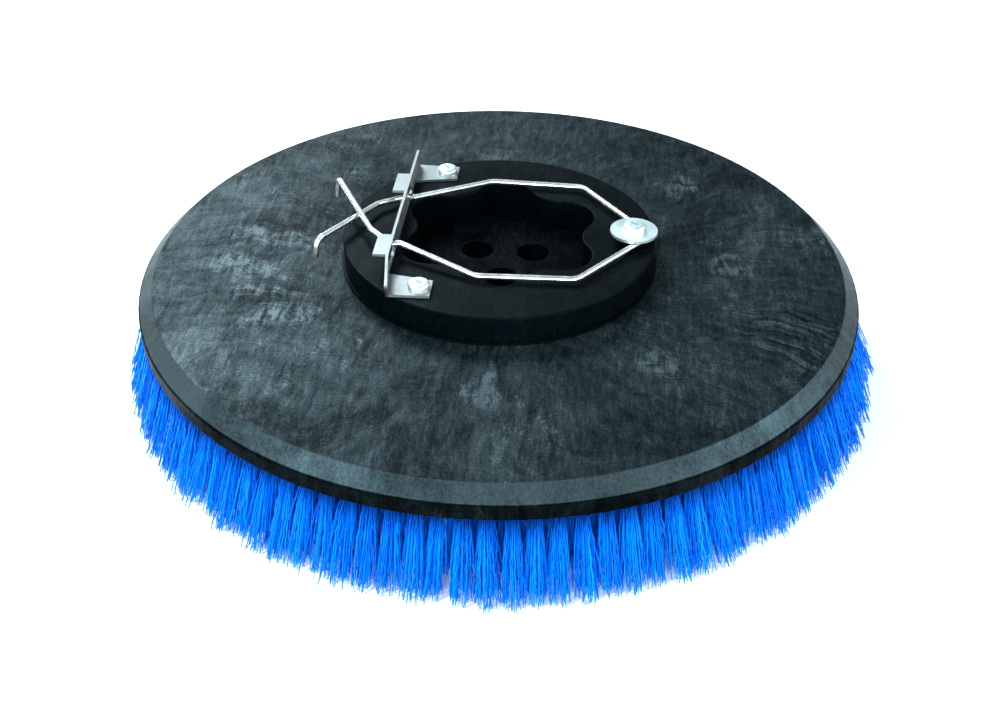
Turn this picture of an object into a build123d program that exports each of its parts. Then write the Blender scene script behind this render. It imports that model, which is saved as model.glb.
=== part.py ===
from build123d import *
import math
import os

# Rotary scrubbing brush for a floor machine: a round brush block with rows of bristle tufts, and a
# drive hub whose socket takes the machine's boss. A sprung wire clip on top of the hub holds the
# boss in the socket, and lets it go when the clip's two crossed fingers are squeezed together.
# Millimetres. +Z is up, and the origin is on the floor at the brush's axis.
# +X points to the screw that the clip pivots on, and -X to its fingers.

# Bristles
BRISTLE_LENGTH = 45.8          # from the block's underside to the floor
ROW_COUNT = 8
OUTER_ROW_INSET = 7.5          # from the block's edge to the outer row, at the block
INNER_ROW_RADIUS = 109.0
ROOT_WIDTH = 7.0               # a row is as wide as its tufts are thick
TIP_WIDTH = 12.0
OUTER_ROW_LEAN = 15.5          # how far the outer row's tips stand out past its roots
LEANING_ROWS = 3               # the rows next to the outer one lean less and less
TIP_GAP = 2.0                  # between the tips of two upright rows

# Brush block
BLOCK_RADIUS = 215.0
EDGE_HEIGHT = 8.8              # upright part of the block's rim
CHAMFER_WIDTH = 9.0
CHAMFER_DROP = 8.3
RIM_ROUNDING = 1.2
RECESS_DEPTH = 2.5             # the hub's spigot sits in this recess
WATER_HOLE_RADIUS = 10.0
WATER_HOLE_CIRCLE = 19.8       # radius of the circle that the holes lie on
WATER_HOLE_COUNT = 3
WATER_HOLE_START = 30.0        # degrees round to the first hole
WATER_HOLES_X = 2.8            # the circle's centre stands a little towards the pivot

# Drive hub
HUB_RADIUS = 93.4
HUB_HEIGHT = 17.1
HUB_FOOT_HEIGHT = 2.0
HUB_FOOT_STEP = 1.5
HUB_ROUNDING = 1.0
LOBE_REACH = 62.0              # socket axis to the outermost point of a lobe
BUMP_REACH = 49.5              # socket axis to the innermost point between two lobes
BUMP_RADIUS = 22.0
LOBE_COUNT = 6
SPIGOT_WALL = 8.0              # wall outside the lobes
SPIGOT_CLEARANCE = 0.2
FASTENER_INSET = 14.0          # from the hub's edge to the screws' centres

# Screws and inserts (M6)
SCREW_RADIUS = 2.95
THREAD_RADIUS = 3.0
SCREW_HOLE_RADIUS = 3.3
HEAD_RADIUS = 6.3
HEAD_HEIGHT = 3.9
HEAD_CROWN = 2.1               # rounding of a head's upper edge
CROSS_WIDTH = 1.1
CROSS_DEPTH = 1.6
INSERT_RADIUS = 4.2
INSERT_LENGTH = 11.0
SCREW_GRIP = 9.0               # length of a screw inside its insert
FLAT_WASHER_RADIUS = 7.0
FLAT_WASHER_THICKNESS = 1.6
COUNTERBORE_RADIUS = 8.0
COUNTERBORE_DEPTH = 7.0

# Wire clip
WIRE_RADIUS = 1.7
WIRE_GAP = 0.3                 # above and below the wire at the pivot
BEND_RADIUS = 8.0              # the wire's centre line round the pivot
PIVOT_INSET = 13.4             # from the hub's edge to the pivot
PIVOT_Y = -2.0                 # the pivot stands a little in front of the socket's centre line
CLIP_TRAVEL = 4.2              # degrees that each arm opens by
END_GAP = 0.3                  # between the bend and each arm
LOOP_OVERLAP = 5.7             # how far the wire lies inside the lobes' reach
LOOP_TAPER = 1.8               # the loop is that much narrower at its first corner
LOOP_FRONT_RUN = 32.0          # from the pivot back to the loop's first corner
LOOP_BACK_X = -9.0             # the loop's second corner
KNEE_RADIUS = 9.0
NOTCH_HALF_LENGTH = 4.0        # small jog where an arm passes the guide bracket
NOTCH_DEPTH = 1.9
NOTCH_ROUNDING = 2.6
REAR_HALF_WIDTH = 30.0         # from the centre line to an arm, beside the guide bracket
FRONT_HALF_WIDTH = 32.0
REAR_KNEE = (-16.5, 17.8)      # from the bracket along X, and half width
FRONT_KNEE = (-15.0, 19.8)
FINGER_KNEE_RADIUS = 10.0
FINGER_END_DROP = 11.8
FINGER_END_SPLAY = 1.6
REAR_FINGER_TIP = (-43.6, -35.0)
FRONT_FINGER_TIP = (-43.0, -31.5)
REAR_TIP_RADIUS = 5.0
FRONT_TIP_RADIUS = 2.6
REAR_HEIGHTS = (0.4, 1.7, 5.9)     # above the loop: at the bracket, at the knee, at the tip
FINGER_GAP = 0.7               # between the two fingers where they cross

# Pivot
BUSH_BORE = 3.2
BUSH_GAP = 0.2                 # between the bush and the wire round it
BUSH_FLANGE_RADIUS = 9.7
BUSH_FLANGE_THICKNESS = 1.2
PIVOT_WASHER_RADIUS = 14.0
PIVOT_WASHER_THICKNESS = 1.6

# Guide bracket
SHEET = 1.6
BRACKET_INSET = 33.9           # from the hub's edge to the plate
SLOT_FLOOR = 1.2
SLOT_HEADROOM = 1.0            # above the front arm, which climbs as it leaves its slot
TAB_DEPTH = 7.4
SLOT_CLEARANCE = 0.8           # past the arm when it is fully open
REAR_SLOT_INSIDE = 9.4         # from the notch's outermost point to the slot's inner end
FRONT_SLOT_CLEARANCE = 2.0     # inside the front arm, whose notch turns sharply inward
FRONT_SLOT_SPARE = 6.0         # the front slot is that much longer
FOOT_REACH = 27.0
FOOT_SCREW_X = 20.0            # from the plate to the foot's screw
FOOT_ROOT_WIDTH = 22.0
FOOT_END_WIDTH = 16.0
FOOT_SKEW = 2.2                # the foot's root lies further in than its screw
PLATE_OVERHANG = 7.5           # the plate's front end past its foot
BENT_END_LEAN = 4.4

TINY = 0.01                    # two heights closer than this are the same

# Heights above the floor
BLOCK_BOTTOM = BRISTLE_LENGTH
BLOCK_TOP = BLOCK_BOTTOM + EDGE_HEIGHT + CHAMFER_DROP
HUB_TOP = BLOCK_TOP + HUB_HEIGHT
WIRE_Z = HUB_TOP + BUSH_FLANGE_THICKNESS + WIRE_GAP + WIRE_RADIUS
BUSH_HEIGHT = BUSH_FLANGE_THICKNESS + 2 * WIRE_GAP + 2 * WIRE_RADIUS
FRONT_HEIGHTS = [height + 2 * WIRE_RADIUS + FINGER_GAP for height in REAR_HEIGHTS]
SLOT_TOP = WIRE_Z + FRONT_HEIGHTS[0] + WIRE_RADIUS + SLOT_HEADROOM
PLATE_HEIGHT = SLOT_TOP + SHEET - HUB_TOP

# Places that several pieces share
SPIGOT_RADIUS = LOBE_REACH + SPIGOT_WALL
SCREW_CIRCLE = HUB_RADIUS - FASTENER_INSET
PIVOT_X = HUB_RADIUS - PIVOT_INSET
BRACKET_X = BRACKET_INSET - HUB_RADIUS
LOOP_HALF_WIDTH = LOBE_REACH - LOOP_OVERLAP
LOOP_FRONT_HALF_WIDTH = LOOP_HALF_WIDTH - LOOP_TAPER
FOOT_X = BRACKET_X + FOOT_SCREW_X
FOOT_Y = math.sqrt(SCREW_CIRCLE**2 - FOOT_X**2)
FOOT_ROOT_Y = FOOT_Y - FOOT_SKEW
LOBE_PITCH = 360 / LOBE_COUNT
HUB_SCREWS = [
    (SCREW_CIRCLE * math.cos(math.radians(a)), SCREW_CIRCLE * math.sin(math.radians(a)))
    for a in [LOBE_PITCH * (k + 0.5) for k in range(LOBE_COUNT)]
]
ROW_PITCH = (BLOCK_RADIUS - OUTER_ROW_INSET - INNER_ROW_RADIUS) / (ROW_COUNT - 1)

os.makedirs("parts", exist_ok=True)


def save(name, shape):
    """Write one sub-part as a STEP file named after its node."""
    shape.label = name
    export_step(shape, f"parts/{name}.step")


def group(solids):
    """Separate solids that share one node."""
    return Compound(children=list(solids))


def disc(radius, bottom, top, x=0.0, y=0.0):
    """Upright cylinder between two heights."""
    return Pos(x, y, (bottom + top) / 2) * Cylinder(radius, top - bottom)


def tube(outer, inner, bottom, top, x=0.0, y=0.0):
    """Upright sleeve between two heights."""
    return disc(outer, bottom, top, x, y) - disc(inner, bottom, top, x, y)


def slab(x0, x1, y0, y1, z0, z1):
    """Box between two corners."""
    centre = Pos((x0 + x1) / 2, (y0 + y1) / 2, (z0 + z1) / 2)
    return centre * Box(x1 - x0, y1 - y0, z1 - z0)


def on_circle(radius, degrees):
    """Point at an angle on a circle round the brush's axis."""
    return (radius * math.cos(math.radians(degrees)), radius * math.sin(math.radians(degrees)))


# ---------------------------------------------------------------- socket outline
def socket_outline():
    """Six-lobed outline: lobe arcs and wider bump arcs, tangent to each other."""
    bump_centre = BUMP_REACH + BUMP_RADIUS
    half = math.cos(math.radians(LOBE_PITCH / 2))
    across = LOBE_REACH - bump_centre * half
    lobe_radius = (
        LOBE_REACH**2 + bump_centre**2 - 2 * LOBE_REACH * bump_centre * half - BUMP_RADIUS**2
    ) / (2 * (BUMP_RADIUS + across))
    share = BUMP_RADIUS / (BUMP_RADIUS + lobe_radius)

    def meeting(bump, lobe):
        start = Vector(*on_circle(bump_centre, bump))
        end = Vector(*on_circle(LOBE_REACH - lobe_radius, lobe))
        return start + (end - start) * share

    arcs = []
    for k in range(LOBE_COUNT):
        bump = k * LOBE_PITCH
        before = meeting(bump, bump - LOBE_PITCH / 2)
        after = meeting(bump, bump + LOBE_PITCH / 2)
        following = meeting(bump + LOBE_PITCH, bump + LOBE_PITCH / 2)
        arcs.append(ThreePointArc(before, on_circle(BUMP_REACH, bump), after))
        arcs.append(ThreePointArc(after, on_circle(LOBE_REACH, bump + LOBE_PITCH / 2), following))
    return make_face(arcs)


# ---------------------------------------------------------------- brush block and hub
def brush_block():
    """Moulded disc with a chamfered rim, the hub's recess and the water holes."""
    profile = Polyline(
        (0, BLOCK_BOTTOM),
        (BLOCK_RADIUS, BLOCK_BOTTOM),
        (BLOCK_RADIUS, BLOCK_BOTTOM + EDGE_HEIGHT),
        (BLOCK_RADIUS - CHAMFER_WIDTH, BLOCK_TOP),
        (0, BLOCK_TOP),
        close=True,
    )
    half_section = make_face(profile)
    rim_corners = half_section.vertices().filter_by(lambda v: v.X > SPIGOT_RADIUS)
    half_section = fillet(rim_corners, RIM_ROUNDING)
    block = revolve(Plane.XZ * half_section, Axis.Z)
    recess_floor = BLOCK_TOP - RECESS_DEPTH
    block -= disc(SPIGOT_RADIUS + SPIGOT_CLEARANCE, recess_floor, BLOCK_TOP)
    for k in range(WATER_HOLE_COUNT):
        x, y = on_circle(WATER_HOLE_CIRCLE, WATER_HOLE_START + k * 360 / WATER_HOLE_COUNT)
        block -= disc(WATER_HOLE_RADIUS, BLOCK_BOTTOM, BLOCK_TOP, WATER_HOLES_X + x, y)
    for x, y in HUB_SCREWS:
        block -= disc(SCREW_HOLE_RADIUS, BLOCK_BOTTOM, BLOCK_TOP, x, y)
        block -= disc(COUNTERBORE_RADIUS, BLOCK_BOTTOM, BLOCK_BOTTOM + COUNTERBORE_DEPTH, x, y)
    return block


def is_mouth(edge):
    """True for the edges of the socket in the hub's top face."""
    middle = edge.position_at(0.5)
    return abs(middle.Z - HUB_TOP) < TINY and math.hypot(middle.X, middle.Y) < SPIGOT_RADIUS


def drive_hub():
    """Ring with the six-lobed drive socket, a stepped foot and seats for the inserts."""
    hub = disc(HUB_RADIUS, BLOCK_TOP, HUB_TOP)
    hub = fillet(hub.edges().sort_by(Axis.Z)[-1], HUB_ROUNDING)
    hub += disc(HUB_RADIUS + HUB_FOOT_STEP, BLOCK_TOP, BLOCK_TOP + HUB_FOOT_HEIGHT)
    hub += disc(SPIGOT_RADIUS, BLOCK_TOP - RECESS_DEPTH, BLOCK_TOP)
    through = HUB_HEIGHT + RECESS_DEPTH
    hub -= Pos(0, 0, BLOCK_TOP - RECESS_DEPTH) * extrude(socket_outline(), through)
    mouth = [edge for edge in hub.edges() if is_mouth(edge)]
    hub = fillet(mouth, HUB_ROUNDING)
    for x, y in HUB_SCREWS:
        hub -= disc(SCREW_HOLE_RADIUS, BLOCK_TOP - RECESS_DEPTH, BLOCK_TOP, x, y)
        hub -= disc(INSERT_RADIUS, BLOCK_TOP, BLOCK_TOP + INSERT_LENGTH, x, y)
    for x, y in [(PIVOT_X, PIVOT_Y), (FOOT_X, FOOT_Y), (FOOT_X, -FOOT_Y)]:
        hub -= disc(INSERT_RADIUS, HUB_TOP - INSERT_LENGTH, HUB_TOP, x, y)
    return hub


# ---------------------------------------------------------------- fasteners
def insert(x, y, bottom):
    """Brass threaded insert."""
    return tube(INSERT_RADIUS, THREAD_RADIUS, bottom, bottom + INSERT_LENGTH, x, y)


def pan_screw(x, y, seat, length, up=1):
    """Pan head screw with a cross recess. Its head sits on seat, and up is the way it faces."""
    head = Cylinder(HEAD_RADIUS, HEAD_HEIGHT, align=(Align.CENTER, Align.CENTER, Align.MIN))
    head = fillet(head.edges().sort_by(Axis.Z)[-1], HEAD_CROWN)
    cross = Box(2 * THREAD_RADIUS, CROSS_WIDTH, CROSS_DEPTH)
    cross += Box(CROSS_WIDTH, 2 * THREAD_RADIUS, CROSS_DEPTH)
    head -= Pos(0, 0, HEAD_HEIGHT - CROSS_DEPTH / 2) * Rot(0, 0, 45) * cross
    shank = Cylinder(SCREW_RADIUS, length, align=(Align.CENTER, Align.CENTER, Align.MAX))
    turned = Rot(0, 0, 0) if up > 0 else Rot(180, 0, 0)
    return Pos(x, y, seat) * turned * (head + shank)


# ---------------------------------------------------------------- wire clip
def wire(points, radii):
    """Round wire along straight runs joined by tangent arcs."""
    path = FilletPolyline(*points, radius=radii)
    start = Plane(origin=path @ 0, z_dir=path % 0)
    return sweep(start * Circle(WIRE_RADIUS), path=path)


def tangent_angle(side):
    """Angle round the pivot where one arm's straight run meets the bend, in radians, measured
    towards that arm's own side."""
    along = -LOOP_FRONT_RUN
    across = LOOP_FRONT_HALF_WIDTH - side * PIVOT_Y
    return math.atan2(across, along) - math.acos(BEND_RADIUS / math.hypot(across, along))


def clip_arm(side, half_width, heights, knee, tip, tip_radius):
    """One arm of the clip: half the loop, the notch at the bracket, and a crossed finger.
    side is 1 for the rear arm (+Y) and -1 for the front arm."""
    at_bracket, at_knee, at_tip = (WIRE_Z + h for h in heights)
    angle = tangent_angle(side)
    start = (
        PIVOT_X + BEND_RADIUS * math.cos(angle),
        PIVOT_Y + side * BEND_RADIUS * math.sin(angle),
        WIRE_Z,
    )
    tip_x = BRACKET_X + tip[0]
    points = [
        start,
        (PIVOT_X - LOOP_FRONT_RUN, side * LOOP_FRONT_HALF_WIDTH, WIRE_Z),
        (LOOP_BACK_X, side * LOOP_HALF_WIDTH, WIRE_Z),
        (BRACKET_X + NOTCH_HALF_LENGTH, side * half_width, at_bracket),
        (BRACKET_X, side * (half_width + NOTCH_DEPTH), at_bracket),
        (BRACKET_X - NOTCH_HALF_LENGTH, side * (half_width - NOTCH_DEPTH), at_bracket),
        (BRACKET_X + knee[0], side * knee[1], at_knee),
        (tip_x, side * tip[1], at_tip),
        (tip_x - FINGER_END_SPLAY, side * tip[1], at_tip - FINGER_END_DROP),
    ]
    radii = [
        KNEE_RADIUS,
        KNEE_RADIUS,
        NOTCH_ROUNDING,
        NOTCH_ROUNDING,
        NOTCH_ROUNDING,
        FINGER_KNEE_RADIUS,
        tip_radius,
    ]
    return wire(points, radii)


def clip_bend():
    """Middle of the clip's wire, bent round the bush. It flexes as the arms open."""
    gap = math.degrees(END_GAP / BEND_RADIUS)
    rear = math.degrees(tangent_angle(1)) - gap
    front = math.degrees(tangent_angle(-1)) - gap
    path = CenterArc((PIVOT_X, PIVOT_Y, WIRE_Z), BEND_RADIUS, -front, front + rear)
    start = Plane(origin=path @ 0, z_dir=path % 0)
    return sweep(start * Circle(WIRE_RADIUS), path=path)


def pivot_bush():
    """Flanged bush that the clip turns on."""
    barrel = BEND_RADIUS - WIRE_RADIUS - BUSH_GAP
    bush = disc(barrel, HUB_TOP, HUB_TOP + BUSH_HEIGHT, PIVOT_X, PIVOT_Y)
    bush += disc(BUSH_FLANGE_RADIUS, HUB_TOP, HUB_TOP + BUSH_FLANGE_THICKNESS, PIVOT_X, PIVOT_Y)
    return bush - disc(BUSH_BORE, HUB_TOP, HUB_TOP + BUSH_HEIGHT, PIVOT_X, PIVOT_Y)


# ---------------------------------------------------------------- guide bracket
def foot(side, bent_in):
    """Foot of the bracket, narrower at its free end. Its outer corner at the plate lies bent_in
    along X from its inner corner."""
    root = BRACKET_X - SHEET / 2
    end = BRACKET_X + FOOT_REACH
    outline = Polyline(
        (root, side * (FOOT_ROOT_Y - FOOT_ROOT_WIDTH / 2)),
        (end, side * (FOOT_Y - FOOT_END_WIDTH / 2)),
        (end, side * (FOOT_Y + FOOT_END_WIDTH / 2)),
        (root + bent_in, side * (FOOT_ROOT_Y + FOOT_ROOT_WIDTH / 2)),
        close=True,
    )
    blank = extrude(make_face(outline), SHEET)
    return Pos(0, 0, HUB_TOP) * blank


def guide_bracket():
    """Bent sheet bracket: an upright plate with two slots, their tabs, and two feet."""
    travel = (PIVOT_X - BRACKET_X) * math.sin(math.radians(CLIP_TRAVEL))
    room = travel + WIRE_RADIUS + SLOT_CLEARANCE
    rear_arm = REAR_HALF_WIDTH + NOTCH_DEPTH
    front_arm = FRONT_HALF_WIDTH + NOTCH_DEPTH
    slots = [
        (rear_arm - REAR_SLOT_INSIDE, rear_arm + room),
        (-front_arm - room - FRONT_SLOT_SPARE, -front_arm + WIRE_RADIUS + FRONT_SLOT_CLEARANCE),
    ]
    rear_end = FOOT_ROOT_Y + FOOT_ROOT_WIDTH / 2
    front_end = -rear_end - PLATE_OVERHANG
    bent_from = slots[1][0]
    back = BRACKET_X - SHEET / 2
    outline = Polyline(
        (back, rear_end),
        (back, bent_from),
        (back + BENT_END_LEAN, front_end),
        (back + BENT_END_LEAN + SHEET, front_end),
        (back + SHEET, bent_from),
        (back + SHEET, rear_end),
        close=True,
    )
    plate = Pos(0, 0, HUB_TOP) * extrude(make_face(outline), PLATE_HEIGHT)
    corner = Polyline(
        (front_end, HUB_TOP),
        (-rear_end, HUB_TOP),
        (front_end, SLOT_TOP),
        close=True,
    )
    cutter = extrude(Plane.YZ.offset(back - SHEET) * make_face(corner), 4 * SHEET + BENT_END_LEAN)
    plate -= cutter
    for low, high in slots:
        plate -= slab(back, back + SHEET, low, high, HUB_TOP + SLOT_FLOOR, SLOT_TOP)
        plate += slab(back - TAB_DEPTH, back + SHEET, low, high, SLOT_TOP, SLOT_TOP + SHEET)
    bent_in = BENT_END_LEAN * (-rear_end - bent_from) / (front_end - bent_from)
    for side, corner_shift in ((1, 0), (-1, bent_in)):
        plate += foot(side, corner_shift)
        plate -= disc(SCREW_HOLE_RADIUS, HUB_TOP, HUB_TOP + SHEET, FOOT_X, side * FOOT_Y)
    return plate


# ---------------------------------------------------------------- bristle rows
def bristle_row(index):
    """One row of tufts as a closed ring. Row 1 is the innermost, and the last one leans outwards."""
    root = INNER_ROW_RADIUS + (index - 1) * ROW_PITCH
    step = max(0, index - (ROW_COUNT - LEANING_ROWS)) / LEANING_ROWS
    lean = OUTER_ROW_LEAN * step
    tip_width = TIP_WIDTH if index == ROW_COUNT else min(TIP_WIDTH, ROW_PITCH) - TIP_GAP
    section = Polyline(
        (root - ROOT_WIDTH / 2, BRISTLE_LENGTH),
        (root + ROOT_WIDTH / 2, BRISTLE_LENGTH),
        (root + lean + tip_width / 2, 0),
        (root + lean - tip_width / 2, 0),
        close=True,
    )
    return revolve(Plane.XZ * make_face(section), Axis.Z)


# ---------------------------------------------------------------- all the sub-parts
save("brush_block", brush_block())
save("drive_hub", drive_hub())

HUB_SCREW_SEAT = BLOCK_BOTTOM + COUNTERBORE_DEPTH - FLAT_WASHER_THICKNESS
HUB_WASHER_TOP = HUB_SCREW_SEAT + FLAT_WASHER_THICKNESS
HUB_SCREW_LENGTH = BLOCK_TOP - HUB_SCREW_SEAT + SCREW_GRIP
save("hub_inserts", group(insert(x, y, BLOCK_TOP) for x, y in HUB_SCREWS))
hub_screws = [pan_screw(x, y, HUB_SCREW_SEAT, HUB_SCREW_LENGTH, -1) for x, y in HUB_SCREWS]
save("hub_screws", group(hub_screws))
flat_washers = [
    tube(FLAT_WASHER_RADIUS, SCREW_HOLE_RADIUS, HUB_SCREW_SEAT, HUB_WASHER_TOP, x, y)
    for x, y in HUB_SCREWS
]
save("hub_screw_washers", group(flat_washers))

FEET = [(FOOT_X, FOOT_Y), (FOOT_X, -FOOT_Y)]
save("guide_bracket", guide_bracket())
save("bracket_inserts", group(insert(x, y, HUB_TOP - INSERT_LENGTH) for x, y in FEET))
save("bracket_screws", group(pan_screw(x, y, HUB_TOP + SHEET, SHEET + SCREW_GRIP) for x, y in FEET))

WASHER_SEAT = HUB_TOP + BUSH_HEIGHT
WASHER_TOP = WASHER_SEAT + PIVOT_WASHER_THICKNESS
save("pivot_insert", insert(PIVOT_X, PIVOT_Y, HUB_TOP - INSERT_LENGTH))
save("pivot_bush", pivot_bush())
save("pivot_washer", tube(PIVOT_WASHER_RADIUS, BUSH_BORE, WASHER_SEAT, WASHER_TOP, PIVOT_X, PIVOT_Y))
save("pivot_screw", pan_screw(PIVOT_X, PIVOT_Y, WASHER_TOP, WASHER_TOP - HUB_TOP + SCREW_GRIP))

save("clip_bend", clip_bend())
save(
    "clip_arm_rear",
    clip_arm(1, REAR_HALF_WIDTH, REAR_HEIGHTS, REAR_KNEE, REAR_FINGER_TIP, REAR_TIP_RADIUS),
)
save(
    "clip_arm_front",
    clip_arm(-1, FRONT_HALF_WIDTH, FRONT_HEIGHTS, FRONT_KNEE, FRONT_FINGER_TIP, FRONT_TIP_RADIUS),
)

for row in range(1, ROW_COUNT + 1):
    save(f"bristle_row_{row}", bristle_row(row))
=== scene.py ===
"""Finishes, bristle tufts and studio for a rotary scrubbing brush head. Metres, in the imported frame."""

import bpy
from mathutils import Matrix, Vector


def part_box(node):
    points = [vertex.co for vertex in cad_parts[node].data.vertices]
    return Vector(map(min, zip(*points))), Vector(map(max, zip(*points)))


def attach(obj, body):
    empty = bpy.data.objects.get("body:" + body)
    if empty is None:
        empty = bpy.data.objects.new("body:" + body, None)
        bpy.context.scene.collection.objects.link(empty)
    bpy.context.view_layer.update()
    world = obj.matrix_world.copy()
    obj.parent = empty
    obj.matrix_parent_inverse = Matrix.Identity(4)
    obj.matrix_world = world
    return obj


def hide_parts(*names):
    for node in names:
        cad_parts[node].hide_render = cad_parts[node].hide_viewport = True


bl_info = {
    "name": "Scrubbing brush head",
    "version": (1, 0, 0),
    "blender": (4, 5, 0),
    "location": "3D View > Sidebar > Brush head",
    "description": "Bristle tufts, moulded plastic and steel finishes for a rotary scrubbing brush head",
    "category": "Object",
}

import math

import bpy
import numpy as np
from mathutils import Matrix, Vector

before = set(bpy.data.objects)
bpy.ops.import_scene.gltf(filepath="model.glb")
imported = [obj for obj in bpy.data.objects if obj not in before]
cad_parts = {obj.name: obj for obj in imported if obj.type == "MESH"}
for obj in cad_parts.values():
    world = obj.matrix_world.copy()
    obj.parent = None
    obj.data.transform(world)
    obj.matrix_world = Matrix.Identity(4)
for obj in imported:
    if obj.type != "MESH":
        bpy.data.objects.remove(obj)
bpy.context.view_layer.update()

ROWS = 8
BLOCK_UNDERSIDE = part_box("brush_block")[0].z
BLOCK_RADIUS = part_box("brush_block")[1].x


# ---------------------------------------------------------------- settings
class BristleSettings(bpy.types.PropertyGroup):
    """Sizes and colour of the tufts."""

    outer_row_radius: bpy.props.FloatProperty(
        name="Outer row", description="Radius of the outer row at the block",
        default=0.2075, min=0.1, unit="LENGTH",
    )
    inner_row_radius: bpy.props.FloatProperty(
        name="Inner row", description="Radius of the innermost row at the block",
        default=0.109, min=0.05, unit="LENGTH",
    )
    tufts: bpy.props.IntProperty(
        name="Tufts", description="Tufts in the outer row; the others have fewer, at the same spacing",
        default=112, min=24,
    )
    root_radius: bpy.props.FloatProperty(
        name="Tuft radius", description="Half a tuft's thickness at the block",
        default=0.0030, min=0.001, unit="LENGTH",
    )
    tip_radius: bpy.props.FloatProperty(
        name="Tuft tip radius", description="Half a tuft's thickness at the floor",
        default=0.0062, min=0.001, unit="LENGTH",
    )
    filament_radius: bpy.props.FloatProperty(
        name="Filament radius", description="Half a filament's thickness",
        default=0.00036, min=0.0001, precision=5, unit="LENGTH",
    )
    crimp: bpy.props.FloatProperty(
        name="Crimp", description="How far a filament waves to each side",
        default=0.00042, min=0.0, precision=5, unit="LENGTH",
    )
    crimp_length: bpy.props.FloatProperty(
        name="Crimp length", description="Length of one wave along a filament",
        default=0.0105, min=0.002, unit="LENGTH",
    )
    colour: bpy.props.FloatVectorProperty(
        name="Colour", description="Colour of a filament in the light",
        default=(0.0, 0.152, 0.95), size=3, subtype="COLOR", min=0, max=1,
    )
    # painted shade: the deep navy painted on the filaments near the block
    root_shade_colour: bpy.props.FloatVectorProperty(
        name="Root colour", description="Colour deep between the tufts",
        default=(0.0, 0.012, 0.14), size=3, subtype="COLOR", min=0, max=1,
    )


class PlasticSettings(bpy.types.PropertyGroup):
    """Colours of the moulded block and hub."""

    block_colour: bpy.props.FloatVectorProperty(
        name="Block", description="Middle tone of the block's flow marks",
        default=(0.0036, 0.0070, 0.0084), size=3, subtype="COLOR", min=0, max=1,
    )
    hub_colour: bpy.props.FloatVectorProperty(
        name="Hub", description="Middle tone of the hub",
        default=(0.0005, 0.0013, 0.0017), size=3, subtype="COLOR", min=0, max=1,
    )


class MetalSettings(bpy.types.PropertyGroup):
    """Colours of the steel parts."""

    wire_colour: bpy.props.FloatVectorProperty(
        name="Wire", description="Bright drawn spring wire",
        default=(0.97, 0.98, 0.98), size=3, subtype="COLOR", min=0, max=1,
    )
    sheet_colour: bpy.props.FloatVectorProperty(
        name="Sheet", description="Rolled sheet of the guide bracket",
        default=(0.25, 0.26, 0.26), size=3, subtype="COLOR", min=0, max=1,
    )
    zinc_colour: bpy.props.FloatVectorProperty(
        name="Zinc", description="Zinc plated screws and washers",
        default=(0.78, 0.88, 0.90), size=3, subtype="COLOR", min=0, max=1,
    )


class StudioSettings(bpy.types.PropertyGroup):
    """Floor, light and camera."""

    floor_size: bpy.props.FloatProperty(
        name="Floor", description="Side of the floor", default=14.0, min=1.0, unit="LENGTH",
    )
    floor_colour: bpy.props.FloatVectorProperty(
        name="Floor colour", description="Pale studio floor",
        default=(0.92, 0.92, 0.92), size=3, subtype="COLOR", min=0, max=1,
    )
    sky: bpy.props.FloatProperty(
        name="Surrounding light", description="Strength of the light from the front and low down",
        default=1.15, min=0.0,
    )
    rear_sky: bpy.props.FloatProperty(
        name="Rear light", description="Strength of the surrounding light from behind and above",
        default=0.42, min=0.0,
    )
    floor_glow: bpy.props.FloatProperty(
        name="Floor glow", description="Light that comes up through the floor, as on a light table",
        default=0.12, min=0.0,
    )
    lens: bpy.props.FloatProperty(
        name="Lens", description="Focal length of the camera in millimetres", default=44.8, min=10.0,
    )


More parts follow.
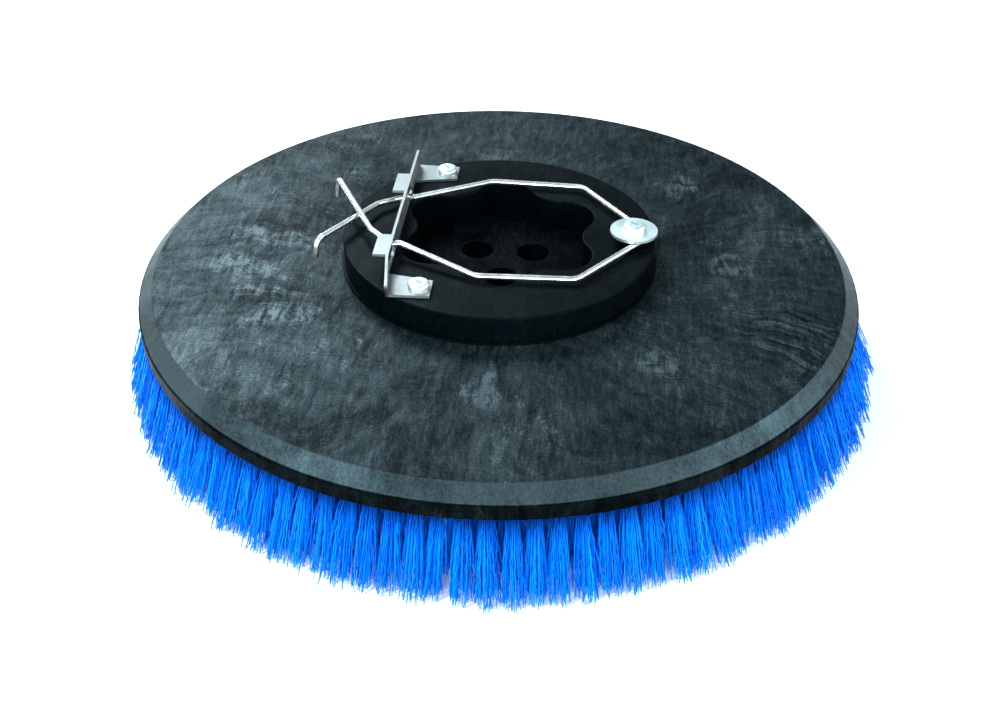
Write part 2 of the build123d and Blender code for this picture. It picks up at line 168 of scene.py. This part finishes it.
# ---------------------------------------------------------------- material building
class Finish:
    """A material under construction. Each method adds nodes and returns the socket that they give."""

    def __init__(self, name, **shader):
        self.material = bpy.data.materials.new(name)
        self.material.use_nodes = True
        self.tree = self.material.node_tree
        self.tree.nodes.clear()
        output = self.tree.nodes.new("ShaderNodeOutputMaterial")
        self.shader = self.tree.nodes.new("ShaderNodeBsdfPrincipled")
        self.tree.links.new(self.shader.outputs[0], output.inputs[0])
        for socket, value in shader.items():
            self.shader.inputs[socket.replace("_", " ")].default_value = value
        self.place = self.add("ShaderNodeTexCoord", outlet="Object")

    def add(self, kind, inputs=None, outlet=0, **settings):
        node = self.tree.nodes.new(kind)
        for name, value in settings.items():
            setattr(node, name, value)
        for socket, value in (inputs or {}).items():
            if isinstance(value, bpy.types.NodeSocket):
                self.tree.links.new(value, node.inputs[socket])
            else:
                node.inputs[socket].default_value = value
        return node.outputs[outlet]

    def noise(self, where, scale, detail=3.0, roughness=0.55, distortion=0.0, outlet=0, kind="FBM"):
        values = {
            "Vector": where, "Scale": scale, "Detail": detail,
            "Roughness": roughness, "Distortion": distortion,
        }
        return self.add("ShaderNodeTexNoise", values, outlet=outlet, noise_type=kind)

    def math(self, operation, a, b=0.0, clamp=False):
        return self.add("ShaderNodeMath", {0: a, 1: b}, operation=operation, use_clamp=clamp)

    def vector(self, operation, a, b=(0.0, 0.0, 0.0), scale=1.0, outlet=0):
        values = {0: a, "Scale": scale} if operation == "SCALE" else {0: a, 1: b}
        return self.add("ShaderNodeVectorMath", values, outlet=outlet, operation=operation)

    def stretched(self, where, scale=(1, 1, 1), turn=(0, 0, 0), move=(0, 0, 0)):
        values = {"Vector": where, "Scale": scale, "Rotation": turn, "Location": move}
        return self.add("ShaderNodeMapping", values)

    def between(self, value, low, high, to_low=0.0, to_high=1.0, smooth=True):
        kind = "SMOOTHSTEP" if smooth else "LINEAR"
        values = {0: value, 1: low, 2: high, 3: to_low, 4: to_high}
        return self.add("ShaderNodeMapRange", values, interpolation_type=kind)

    def mix(self, share, a, b, blend="MIX"):
        values = {0: share, 6: a, 7: b}
        return self.add("ShaderNodeMix", values, outlet=2, data_type="RGBA", blend_type=blend)

    def ramp(self, value, stops):
        node = self.tree.nodes.new("ShaderNodeValToRGB")
        self.tree.links.new(value, node.inputs[0])
        elements = node.color_ramp.elements
        while len(elements) < len(stops):
            elements.new(0.5)
        for element, (position, colour) in zip(elements, stops):
            element.position = position
            element.color = (*colour, 1.0)
        return node.outputs[0]

    def bump(self, height, strength, distance, onto=None):
        values = {"Height": height, "Strength": strength, "Distance": distance}
        if onto is not None:
            values["Normal"] = onto
        return self.add("ShaderNodeBump", values)

    def finish(self, **sockets):
        for name, socket in sockets.items():
            self.tree.links.new(socket, self.shader.inputs[name.replace("_", " ")])
        return self.material


def shade(colour, factor):
    """A colour made lighter or darker."""
    return tuple(min(1.0, c * factor) for c in colour)


def between_colours(a, b, share):
    """A mixture of two colours."""
    return tuple(u * (1 - share) + v * share for u, v in zip(a, b))


def rgba(colour):
    return (*colour, 1.0)


# ---------------------------------------------------------------- finishes
PALE_DUST = (0.050, 0.060, 0.062)
# painted sheen: the paler colour painted over the block's chamfer
CHAMFER_SHEEN_COLOUR = (0.021, 0.028, 0.030)
# The block's zones, measured inward from its edge: where each begins to show, and where it is full
CHAMFER_FROM = 0.0095
CHAMFER_FULL = 0.0085
EDGE_FROM = 0.0012
EDGE_FULL = 0.0006
SOCKET_FLOOR_EDGE = 0.072       # radius of the recess that the hub sits in
SOCKET_FADE = 0.003

# Scuffs on the block's top, all at one distance from its middle. Bearings are degrees round from +X.
SCUFF_RADIUS = 0.67 * BLOCK_RADIUS
GRIP_SCUFFS = 4                 # long pale streaks side by side, on the fingers' side of the hub
GRIP_BEARING = 180.0
GRIP_STEP = 12.0
GRIP_REACH = (0.027, 0.011)
GRIP_TURN = 7.0                 # each streak is turned that much past the one before
GRIP_STRENGTH = 0.42
LONE_SCUFFS = 6                 # short ones, evenly round the rest of the top
LONE_BEARING = -90.0
LONE_STEP = 45.0
LONE_REACH = (0.013, 0.011)
LONE_STRENGTH = 0.40
FAN_RADIUS = 0.90 * BLOCK_RADIUS    # ribs in the flow, midway between two of the lone scuffs
FAN_BEARING = -LONE_STEP / 2
FAN_REACH = (0.046, 0.036)


def on_top(radius, bearing):
    """Point on the block's top."""
    return (radius * math.cos(math.radians(bearing)), radius * math.sin(math.radians(bearing)))


def scuffs():
    """Centre, reach, turn and strength of each scuffed place."""
    places = []
    for k in range(GRIP_SCUFFS):
        centre = on_top(SCUFF_RADIUS, GRIP_BEARING + k * GRIP_STEP)
        places.append((centre, GRIP_REACH, k * GRIP_TURN, GRIP_STRENGTH))
    for k in range(LONE_SCUFFS):
        centre = on_top(SCUFF_RADIUS, LONE_BEARING + k * LONE_STEP)
        places.append((centre, LONE_REACH, LONE_BEARING + k * LONE_STEP, LONE_STRENGTH))
    return places


def place_mask(f, where, centre, reach, turn):
    """1 in an oval place on the top, fading to 0 at its ragged edge."""
    values = {
        "Vector": where, "Location": (*centre, 0.0),
        "Rotation": (0.0, 0.0, math.radians(turn)), "Scale": (*reach, 9.0),
    }
    local = f.add("ShaderNodeMapping", values, vector_type="TEXTURE")
    return f.between(f.vector("LENGTH", local, outlet=1), 1.15, 0.55)


def moulded_plastic(name, colour, marks, gloss, shine, block):
    """Structural foam moulding: cloudy flow marks, torn streaks, fine grain and light scuffs."""
    f = Finish(name, Specular_Tint=rgba((0.50, 0.84, 1.0)), IOR=1.5)
    xyz = f.add("ShaderNodeSeparateXYZ", {0: f.place})
    x, y = xyz, xyz.node.outputs[1]
    flat = f.add("ShaderNodeCombineXYZ", {0: x, 1: y, 2: 0.0})
    radius = f.vector("LENGTH", flat, outlet=1)
    # the melt curls as it runs out from the middle
    curl = f.noise(f.place, 13.0, 3.0, 0.55, outlet=1)
    curl = f.vector("SCALE", f.vector("SUBTRACT", curl, (0.5, 0.5, 0.5)), scale=0.085)
    curled = f.vector("ADD", f.place, curl)
    direction = f.vector("NORMALIZE", f.vector("ADD", flat, f.vector("SCALE", curl, scale=0.35)))
    run = f.vector("ADD", direction, f.vector("SCALE", curled, scale=1.3))
    clouds = f.noise(curled, 10.0, 6.0, 0.66, 1.0)
    fan = f.noise(run, 26.0, 3.0, 0.6, 0.2)
    hatch = f.noise(f.stretched(curled, (26.0, 210.0, 60.0), (0.0, 0.0, 0.07)), 1.0, 4.0, 0.75, 0.25)
    cross_hatch = f.noise(f.stretched(f.place, (300.0, 60.0, 60.0), (0.0, 0.0, 0.25)), 1.0, 3.0, 0.7, 0.6)
    grain = f.noise(f.place, 700.0, 2.0, 0.75)
    left = f.between(x, 0.01, -0.12)
    fan = f.math("MULTIPLY", fan, f.math("SUBTRACT", 1.0, left))
    flow = f.math("ADD", f.math("MULTIPLY", hatch, left), fan)
    # plateaus where the skin has folded, each with a pale, torn rim
    level = f.noise(curled, 21.0, 4.0, 0.6, 1.3)
    plateau = f.between(level, 0.505, 0.53)
    rim_line = f.math("ABSOLUTE", f.math("SUBTRACT", level, 0.515))
    torn = f.between(f.noise(f.place, 17.0, 2.0), 0.50, 0.66)
    rim_line = f.math("MULTIPLY", f.between(rim_line, 0.014, 0.0), torn)
    rim_line = f.math("MULTIPLY", rim_line, f.between(cross_hatch, 0.38, 0.62))
    tone = f.math("MULTIPLY", f.math("SUBTRACT", clouds, 0.5), 0.95)
    for share, amount in ((flow, 0.55), (plateau, 0.07), (cross_hatch, 0.75), (grain, 0.80)):
        tone = f.math("ADD", tone, f.math("MULTIPLY", f.math("SUBTRACT", share, 0.5), amount))
    tone = f.math("MULTIPLY", tone, marks)
    tone = f.math("ADD", tone, f.math("MULTIPLY", rim_line, 0.42 * marks))
    if block:
        for centre, reach, turn, amount in scuffs():
            mask = place_mask(f, curled, centre, reach, turn)
            rough_edge = f.between(f.math("ADD", hatch, f.math("MULTIPLY", cross_hatch, 0.8)), 0.72, 1.10)
            scuff = f.math("MULTIPLY", mask, rough_edge)
            tone = f.math("ADD", tone, f.math("MULTIPLY", scuff, 1.05 * amount))
            outline = f.between(f.math("ABSOLUTE", f.math("SUBTRACT", mask, 0.25)), 0.16, 0.0)
            outline = f.math("MULTIPLY", outline, f.between(cross_hatch, 0.36, 0.60))
            tone = f.math("ADD", tone, f.math("MULTIPLY", outline, 0.35 * abs(amount)))
        fan_place = place_mask(f, f.place, on_top(FAN_RADIUS, FAN_BEARING), FAN_REACH, FAN_BEARING)
        ribs = f.noise(direction, 62.0, 2.0, 0.6)
        ribs = f.math("MULTIPLY", f.math("SUBTRACT", ribs, 0.5), fan_place)
        tone = f.math("ADD", tone, f.math("MULTIPLY", ribs, 1.5))
    tone = f.math("ADD", tone, 0.5, clamp=True)
    dust = 0.5 if block else 0.05
    thick_dust = 0.6 if block else 0.1
    base = f.ramp(tone, [
        (0.20, shade(colour, 0.30)),
        (0.50, colour),
        (0.72, between_colours(shade(colour, 2.2), shade(PALE_DUST, 0.30), dust)),
        (1.00, between_colours(shade(colour, 4.5), PALE_DUST, thick_dust)),
    ])
    # hairline scratches
    lines = f.noise(f.stretched(f.place, (3.0, 900.0, 1.0), (0.0, 0.0, 0.7)), 1.0, 1.0, 0.5, 0.4)
    more = f.noise(f.stretched(f.place, (700.0, 5.0, 1.0), (0.0, 0.0, 0.35)), 1.0, 1.0, 0.5, 0.4)
    lines = f.math("MAXIMUM", f.between(lines, 0.70, 0.74), f.between(more, 0.71, 0.75))
    worn = f.between(f.noise(f.place, 21.0, 1.0), 0.50, 0.64)
    lines = f.math("MULTIPLY", lines, worn)
    base = f.mix(f.math("MULTIPLY", lines, 0.4), base, rgba(shade(colour, 4.0)))
    if block:
        # the chamfer gets a paler, coarser colour than the top: painted sheen on the rim
        on_rim = f.between(radius, BLOCK_RADIUS - CHAMFER_FROM, BLOCK_RADIUS - CHAMFER_FULL)
        off_edge = f.between(radius, BLOCK_RADIUS - EDGE_FULL, BLOCK_RADIUS - EDGE_FROM)
        on_rim = f.math("MULTIPLY", on_rim, off_edge)
        rim_mottle = f.noise(f.stretched(f.place, (1.0, 1.0, 0.25)), 760.0, 4.0, 0.8)
        rim_mottle = f.math("ADD", f.math("MULTIPLY", rim_mottle, 0.55), f.math("MULTIPLY", clouds, 0.45))
        pale = f.math("MULTIPLY", on_rim, f.between(rim_mottle, 0.36, 0.62, 0.25, 1.0))
        base = f.mix(pale, base, rgba(CHAMFER_SHEEN_COLOUR))
        # painted shade on the upright edge and on the floor of the socket: a nearly black colour, and less
        # sheen
        edge = f.between(radius, BLOCK_RADIUS - EDGE_FROM, BLOCK_RADIUS - EDGE_FULL)
        socket_shade = f.between(radius, SOCKET_FLOOR_EDGE, SOCKET_FLOOR_EDGE - SOCKET_FADE)
        smooth = f.math("MAXIMUM", edge, socket_shade)
        base = f.mix(f.math("MULTIPLY", smooth, 0.8), base, rgba(shade(colour, 0.05)))
    roughness = f.between(tone, 0.2, 0.9, gloss + 0.06, gloss - 0.08, smooth=False)
    roughness = f.math("ADD", roughness, f.math("MULTIPLY", f.math("SUBTRACT", grain, 0.5), 0.20))
    sheen = f.between(tone, 0.25, 0.90, 0.35 * shine, 1.9 * shine, smooth=False)
    if block:
        # real sheen raised on the chamfer, on top of its painted sheen
        sheen = f.math("ADD", sheen, f.math("MULTIPLY", pale, 0.30))
        # less sheen where the upright edge and the socket floor have painted shade
        sheen = f.math("MULTIPLY", sheen, f.math("SUBTRACT", 1.0, f.math("MULTIPLY", smooth, 0.85)))
    normal = f.bump(grain, 0.22, 0.00025)
    normal = f.bump(level, 0.08, 0.0010, normal)
    normal = f.bump(tone, 0.05, 0.0005, normal)
    links = {"Base_Color": base, "Roughness": roughness, "Normal": normal, "Specular_IOR_Level": sheen}
    return f.finish(**links)


def bristle_nylon(colour, root_shade_colour):
    """Dyed nylon filament: a little paler or darker from one to the next, with painted shade in deep navy at
    the root.
    """
    f = Finish("bristle_nylon", Specular_Tint=rgba((0.05, 0.50, 1.0)), Specular_IOR_Level=0.22, IOR=1.50)
    one = f.add("ShaderNodeAttribute", outlet=2, attribute_name="strand")
    along = f.add("ShaderNodeAttribute", outlet=2, attribute_name="along")
    light = (colour[0], min(1.0, colour[1] * 1.45), 1.0)
    base = f.mix(one, rgba(shade(colour, 0.66)), rgba(light))
    fine = f.noise(f.stretched(f.place, (1.0, 1.0, 0.35)), 900.0, 2.0, 0.6)
    base = f.mix(f.math("MULTIPLY", fine, 0.20), base, rgba(shade(colour, 0.6)))
    base = f.mix(f.between(along, 0.93, 1.0, 0.0, 0.4), base, rgba((0.0, 0.36, 1.0)))
    # painted shade: deep navy towards the root, under the block and between the tufts
    base = f.mix(f.between(along, 0.42, 0.02), base, rgba(root_shade_colour))
    roughness = f.between(fine, 0.3, 0.7, 0.34, 0.52)
    normal = f.bump(fine, 0.15, 0.0001)
    return f.finish(Base_Color=base, Roughness=roughness, Normal=normal)


def bright_metal(name, colour, rough, streak, turn=(0, 0, 0), stain=0.12):
    """Bright metal with rolling or drawing marks along it, and a soft haze of handling."""
    f = Finish(name, Metallic=1.0)
    drawn = f.noise(f.stretched(f.place, streak, turn), 1.0, 3.0, 0.6)
    haze = f.noise(f.place, 95.0, 4.0, 0.6, 0.6)
    base = f.mix(f.between(drawn, 0.3, 0.7), rgba(shade(colour, 0.93)), rgba(colour))
    base = f.mix(f.between(haze, 0.52, 0.75, 0.0, stain), base, rgba(shade(colour, 0.62)))
    roughness = f.between(haze, 0.30, 0.72, rough - 0.05, rough + 0.12, smooth=False)
    normal = f.bump(drawn, 0.12, 0.00008)
    normal = f.bump(haze, 0.10, 0.00015, normal)
    return f.finish(Base_Color=base, Roughness=roughness, Normal=normal)


def dress(node, material):
    """Give a part of the frame its finish."""
    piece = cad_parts[node]
    if not piece.material_slots:
        piece.data.materials.append(material)
    for place in piece.material_slots:
        place.material = material


# ---------------------------------------------------------------- bristles
def deselect():
    bpy.ops.object.select_all(action="DESELECT")


def filament_pattern(radius, steps):
    """One straight filament, modelled once. Its points have their share of its length as height."""
    deselect()
    bpy.ops.mesh.primitive_cylinder_add(
        vertices=3, radius=radius, depth=1.0, end_fill_type="NGON", location=(0, 0, 0.5)
    )
    pattern = bpy.context.active_object
    bpy.ops.object.mode_set(mode="EDIT")
    for k in range(1, steps):
        bpy.ops.mesh.select_all(action="SELECT")
        bpy.ops.mesh.bisect(plane_co=(0, 0, k / steps), plane_no=(0, 0, 1))
    bpy.ops.object.mode_set(mode="OBJECT")
    bpy.ops.object.transform_apply(location=True, rotation=True, scale=True)
    points = np.array([v.co for v in pattern.data.vertices])
    faces = [tuple(p.vertices) for p in pattern.data.polygons]
    mesh = pattern.data
    bpy.data.objects.remove(pattern)
    bpy.data.meshes.remove(mesh)
    return points, faces


def filaments(rng, pattern, roots, tips, sizes):
    """Points of many filaments. Each one runs from its root to its tip, bows a little and is crimped."""
    points, _ = pattern
    count = len(roots)
    share = points[:, 2][None, :, None]
    span = tips - roots
    length = np.linalg.norm(span, axis=1, keepdims=True)
    along = span / length
    turn = rng.uniform(0, 2 * math.pi, count)
    flat = np.stack([np.cos(turn), np.sin(turn), np.zeros(count)], 1)
    flat -= along * np.sum(flat * along, 1, keepdims=True)
    flat /= np.linalg.norm(flat, axis=1, keepdims=True)
    side = np.cross(along, flat)
    bow = (flat * rng.normal(0, 0.0007, (count, 1)) + side * rng.normal(0, 0.0007, (count, 1)))[:, None, :]
    waves = (length[:, 0] / (sizes.crimp_length * rng.uniform(0.85, 1.2, count)))[:, None]
    phase = rng.uniform(0, 2 * math.pi, count)[:, None]
    depth = (sizes.crimp * rng.uniform(0.5, 1.25, count))[:, None]
    wave = depth * np.sin(2 * math.pi * waves * points[:, 2][None, :] + phase)
    wave = wave * np.clip(points[:, 2][None, :] * 8, 0, 1)
    centre = roots[:, None, :] + span[:, None, :] * share + bow * (4 * share * (1 - share))
    centre = centre + wave[:, :, None] * flat[:, None, :]
    thick = (1.0 - 0.25 * np.clip((share - 0.9) * 10, 0, 1)) * rng.uniform(0.85, 1.12, (count, 1, 1))
    across = points[:, 0][None, :, None] * flat[:, None, :] + points[:, 1][None, :, None] * side[:, None, :]
    return centre + across * thick


def tuft_row(rng, sizes, angles, root_radius, lean, per_tuft):
    """Roots and tips of the filaments of a row's tufts."""
    tufts = len(angles)
    k = np.arange(per_tuft)
    spread = np.sqrt((k + 0.5) / per_tuft)
    twist = k * math.pi * (3 - math.sqrt(5))
    disc = np.stack([spread * np.cos(twist), spread * np.sin(twist)], 1)
    spin = rng.uniform(0, 2 * math.pi, tufts)
    cos, sin = np.cos(spin)[:, None], np.sin(spin)[:, None]
    u = disc[None, :, 0] * cos - disc[None, :, 1] * sin
    w = disc[None, :, 0] * sin + disc[None, :, 1] * cos
    jitter = rng.normal(0, 0.06, (2, tufts, per_tuft))
    u, w = u + jitter[0], w + jitter[1]
    outward = np.stack([np.cos(angles), np.sin(angles), np.zeros(tufts)], 1)[:, None, :]
    onward = np.stack([-np.sin(angles), np.cos(angles), np.zeros(tufts)], 1)[:, None, :]
    root = outward * (root_radius + u * sizes.root_radius)[..., None]
    root = root + onward * (w * sizes.root_radius)[..., None]
    root[..., 2] = BLOCK_UNDERSIDE + 0.0006
    tilt = rng.normal(0, 0.0011, (2, tufts, 1))
    stray = rng.normal(0, 0.0011, (2, tufts, per_tuft))
    stray *= np.where(rng.random((tufts, per_tuft)) < 0.06, 2.6, 1.0)
    reach = sizes.tip_radius * rng.uniform(0.85, 1.12, (tufts, 1))
    splay = lean * (1 + 0.1 * np.cos(angles))[:, None]
    out = root_radius + splay + (1.4 * u - 0.35) * reach + tilt[0] + stray[0]
    on = w * reach * (1 + lean / root_radius) + tilt[1] + stray[1]
    tip = outward * out[..., None] + onward * on[..., None]
    ragged = np.abs(rng.normal(0, 0.0006, (tufts, per_tuft))) + np.abs(rng.normal(0, 0.0003, (tufts, 1)))
    tip[..., 2] = 0.0002 + ragged
    return root.reshape(-1, 3), tip.reshape(-1, 3)


def strand_mesh(name, pattern, points, strand):
    """A mesh of many filaments, with each one's own shade and each point's share of the length."""
    shape, faces = pattern
    count, per = points.shape[0], points.shape[1]
    mesh = bpy.data.meshes.new(name)
    sizes = np.array([len(f) for f in faces])
    corners = np.concatenate([np.array(f) for f in faces])
    every = (corners[None, :] + (np.arange(count) * per)[:, None]).ravel()
    totals = np.tile(sizes, count)
    starts = np.concatenate([[0], np.cumsum(totals)[:-1]])
    mesh.vertices.add(count * per)
    mesh.vertices.foreach_set("co", points.astype(np.float32).ravel())
    mesh.loops.add(len(every))
    mesh.loops.foreach_set("vertex_index", every.astype(np.int32))
    mesh.polygons.add(len(totals))
    mesh.polygons.foreach_set("loop_start", starts.astype(np.int32))
    mesh.polygons.foreach_set("loop_total", totals.astype(np.int32))
    mesh.polygons.foreach_set("use_smooth", np.ones(len(totals), bool))
    mesh.update(calc_edges=True)
    mesh.validate()
    own = mesh.attributes.new("strand", "FLOAT", "POINT")
    own.data.foreach_set("value", np.repeat(strand, per).astype(np.float32))
    along = mesh.attributes.new("along", "FLOAT", "POINT")
    along.data.foreach_set("value", np.tile(shape[:, 2], count).astype(np.float32))
    return mesh


class BRUSH_OT_bristles(bpy.types.Operator):
    """Plant the tufts of crimped filaments in their rows"""

    bl_idname = "brush.bristles"
    bl_label = "Bristle tufts"

    def execute(self, context):
        sizes = context.scene.bristle_settings
        nylon = bristle_nylon(tuple(sizes.colour), tuple(sizes.root_shade_colour))
        pitch = (sizes.outer_row_radius - sizes.inner_row_radius) / (ROWS - 1)
        fine, plain, hidden = (filament_pattern(sizes.filament_radius, n) for n in (12, 8, 6))
        kinds = {ROWS: (fine, 64, 4), ROWS - 1: (plain, 54, 2)}
        for row in range(1, ROWS + 1):
            rng = np.random.default_rng(100 + row)
            node = f"bristle_row_{row}"
            root_radius = sizes.inner_row_radius + (row - 1) * pitch
            tip_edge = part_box(node)[1].x
            lean = max(0.0, tip_edge - 0.0055 - root_radius)
            tufts = 4 * round(sizes.tufts * root_radius / sizes.outer_row_radius / 4)
            angles = 2 * math.pi * (np.arange(tufts) + 0.5 * (row % 2)) / tufts
            angles = angles + rng.normal(0, 0.0012, tufts)
            pattern, per_tuft, pieces = kinds.get(row, (hidden, 26, 1))
            for number, part in enumerate(np.array_split(angles, pieces)):
                roots, tips = tuft_row(rng, sizes, part, root_radius, lean, per_tuft)
                points = filaments(rng, pattern, roots, tips, sizes)
                name = f"tufts_row_{row}" + ("_" + "abcd"[number] if pieces > 1 else "")
                mesh = strand_mesh(name, pattern, points, rng.random(len(roots)))
                piece = bpy.data.objects.new(name, mesh)
                context.scene.collection.objects.link(piece)
                mesh.materials.append(nylon)
                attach(piece, "brush_head")
                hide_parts(node)
        return {"FINISHED"}


class BRUSH_OT_mouldings(bpy.types.Operator):
    """Give the brush block and the drive hub their moulded plastic"""

    bl_idname = "brush.mouldings"
    bl_label = "Block and hub"

    def execute(self, context):
        colours = context.scene.plastic_settings
        block = moulded_plastic("block_plastic", tuple(colours.block_colour), 1.15, 0.50, 0.12, True)
        dress("brush_block", block)
        hub = moulded_plastic("hub_plastic", tuple(colours.hub_colour), 0.4, 0.46, 0.036, False)
        dress("drive_hub", hub)
        dress("pivot_bush", hub)
        return {"FINISHED"}


class BRUSH_OT_metalwork(bpy.types.Operator):
    """Give the clip, the guide bracket and the fasteners their metals"""

    bl_idname = "brush.metalwork"
    bl_label = "Clip, bracket and fasteners"

    def execute(self, context):
        colours = context.scene.metal_settings
        drawn = (60.0, 1500.0, 1500.0)
        wire = bright_metal("spring_wire", tuple(colours.wire_colour), 0.24, drawn, stain=0.08)
        sheet = bright_metal("rolled_sheet", tuple(colours.sheet_colour), 0.46, (900.0, 30.0, 900.0))
        zinc = bright_metal("zinc_plate", tuple(colours.zinc_colour), 0.40, (400.0, 400.0, 400.0))
        brass = bright_metal("brass", (0.78, 0.57, 0.23), 0.30, (300.0, 300.0, 900.0))
        for node in ("clip_arm_rear", "clip_arm_front", "clip_bend"):
            dress(node, wire)
        dress("guide_bracket", sheet)
        for node in ("hub_screws", "hub_screw_washers", "bracket_screws", "pivot_screw", "pivot_washer"):
            dress(node, zinc)
        for node in ("hub_inserts", "bracket_inserts", "pivot_insert"):
            dress(node, brass)
        return {"FINISHED"}


# ---------------------------------------------------------------- studio
def softbox(name, place, target, width, height, power, colour=(1.0, 1.0, 1.0)):
    """A large soft lamp that faces a point."""
    lamp = bpy.data.lights.new(name, "AREA")
    lamp.shape = "RECTANGLE"
    lamp.size = width
    lamp.size_y = height
    lamp.energy = power
    lamp.color = colour
    holder = bpy.data.objects.new(name, lamp)
    holder.location = place
    holder.rotation_euler = (Vector(target) - Vector(place)).to_track_quat("-Z", "Y").to_euler()
    bpy.context.scene.collection.objects.link(holder)


def surroundings(front, rear):
    """Soft light from all around, bright from the front and low down, and dimmer from behind and above."""
    world = bpy.data.worlds.new("studio")
    world.use_nodes = True
    nodes, links = world.node_tree.nodes, world.node_tree.links

    def share(source, low, high, onto):
        node = nodes.new("ShaderNodeMapRange")
        node.interpolation_type = "SMOOTHSTEP"
        for socket, value in zip(node.inputs, (None, low, high, 0.0, 1.0)):
            if value is not None:
                socket.default_value = value
        links.new(source, node.inputs[0])
        if onto is None:
            return node.outputs[0]
        product = nodes.new("ShaderNodeMath")
        product.operation = "MULTIPLY"
        links.new(node.outputs[0], product.inputs[0])
        links.new(onto, product.inputs[1])
        return product.outputs[0]

    way = nodes.new("ShaderNodeTexCoord")
    parts = nodes.new("ShaderNodeSeparateXYZ")
    links.new(way.outputs["Generated"], parts.inputs[0])
    bright = share(parts.outputs[1], 0.35, -0.30, None)
    bright = share(parts.outputs[2], 0.72, 0.40, bright)
    strength = nodes.new("ShaderNodeMapRange")
    strength.inputs[3].default_value = rear
    strength.inputs[4].default_value = front
    links.new(bright, strength.inputs[0])
    background = nodes["Background"]
    background.inputs[0].default_value = (0.80, 0.95, 1.0, 1.0)
    links.new(strength.outputs[0], background.inputs[1])
    return world


class BRUSH_OT_studio(bpy.types.Operator):
    """Lay the pale floor, and set the lights and the camera"""

    bl_idname = "brush.studio"
    bl_label = "Studio"

    def execute(self, context):
        settings = context.scene.studio_settings
        deselect()
        bpy.ops.mesh.primitive_plane_add(size=settings.floor_size, location=(0, 0, 0))
        floor = context.active_object
        floor.name = "studio_floor"
        f = Finish("floor_paint", Roughness=0.85)
        tone = f.noise(f.place, 3.0, 2.0)
        colour = tuple(settings.floor_colour)
        base = f.mix(tone, rgba(shade(colour, 0.995)), rgba(colour))
        f.shader.inputs["Emission Color"].default_value = (1.0, 1.0, 1.0, 1.0)
        f.shader.inputs["Emission Strength"].default_value = settings.floor_glow
        floor.data.materials.append(f.finish(Base_Color=base))
        context.scene.world = surroundings(settings.sky, settings.rear_sky)
        softbox("key_rear_left", (-0.70, 1.02, 1.10), (0, 0.02, 0.05), 0.7, 0.5, 36.0, (0.78, 0.95, 1.0))
        softbox("side_left", (-0.95, -0.72, 1.13), (-0.05, -0.18, 0.05), 0.28, 0.28, 26.0, (0.80, 0.95, 1.0))
        softbox("side_right", (1.3, -0.10, 0.80), (0, -0.05, 0.05), 0.3, 0.3, 15.0, (0.80, 0.95, 1.0))
        softbox("low_front", (0.25, -1.7, 0.30), (0, 0, 0.03), 2.2, 0.4, 44.0, (0.88, 0.97, 1.0))
        camera = bpy.data.objects.new("camera", bpy.data.cameras.new("camera"))
        camera.data.lens = settings.lens
        camera.data.sensor_width = 36.0
        camera.data.clip_end = 50.0
        camera.location = (0.0509, -0.6468, 0.4585)
        aim = Matrix.Rotation(math.radians(4.403), 4, "Z")
        aim = aim @ Matrix.Rotation(math.pi / 2 - math.radians(36.145), 4, "X")
        aim = aim @ Matrix.Rotation(math.radians(0.616), 4, "Z")
        camera.rotation_euler = aim.to_euler()
        context.scene.collection.objects.link(camera)
        context.scene.camera = camera
        context.scene.view_settings.view_transform = "Standard"
        return {"FINISHED"}


# ---------------------------------------------------------------- panel
class BRUSH_PT_panel(bpy.types.Panel):
    """The brush head's steps, in order"""

    bl_idname = "BRUSH_PT_panel"
    bl_label = "Brush head"
    bl_space_type = "VIEW_3D"
    bl_region_type = "UI"
    bl_category = "Brush head"

    def draw(self, context):
        for step in STEPS:
            self.layout.operator(step.bl_idname)


SETTINGS = {
    "bristle_settings": BristleSettings,
    "plastic_settings": PlasticSettings,
    "metal_settings": MetalSettings,
    "studio_settings": StudioSettings,
}
STEPS = (BRUSH_OT_studio, BRUSH_OT_mouldings, BRUSH_OT_metalwork, BRUSH_OT_bristles)


def register():
    for kind in (*SETTINGS.values(), *STEPS, BRUSH_PT_panel):
        bpy.utils.register_class(kind)
    for name, kind in SETTINGS.items():
        setattr(bpy.types.Scene, name, bpy.props.PointerProperty(type=kind))


def unregister():
    for name in SETTINGS:
        delattr(bpy.types.Scene, name)
    for kind in (BRUSH_PT_panel, *STEPS, *SETTINGS.values()):
        bpy.utils.unregister_class(kind)


def main():
    register()
    bpy.ops.brush.studio()
    bpy.ops.brush.mouldings()
    bpy.ops.brush.metalwork()
    bpy.ops.brush.bristles()


if __name__ == "__main__":
    main()
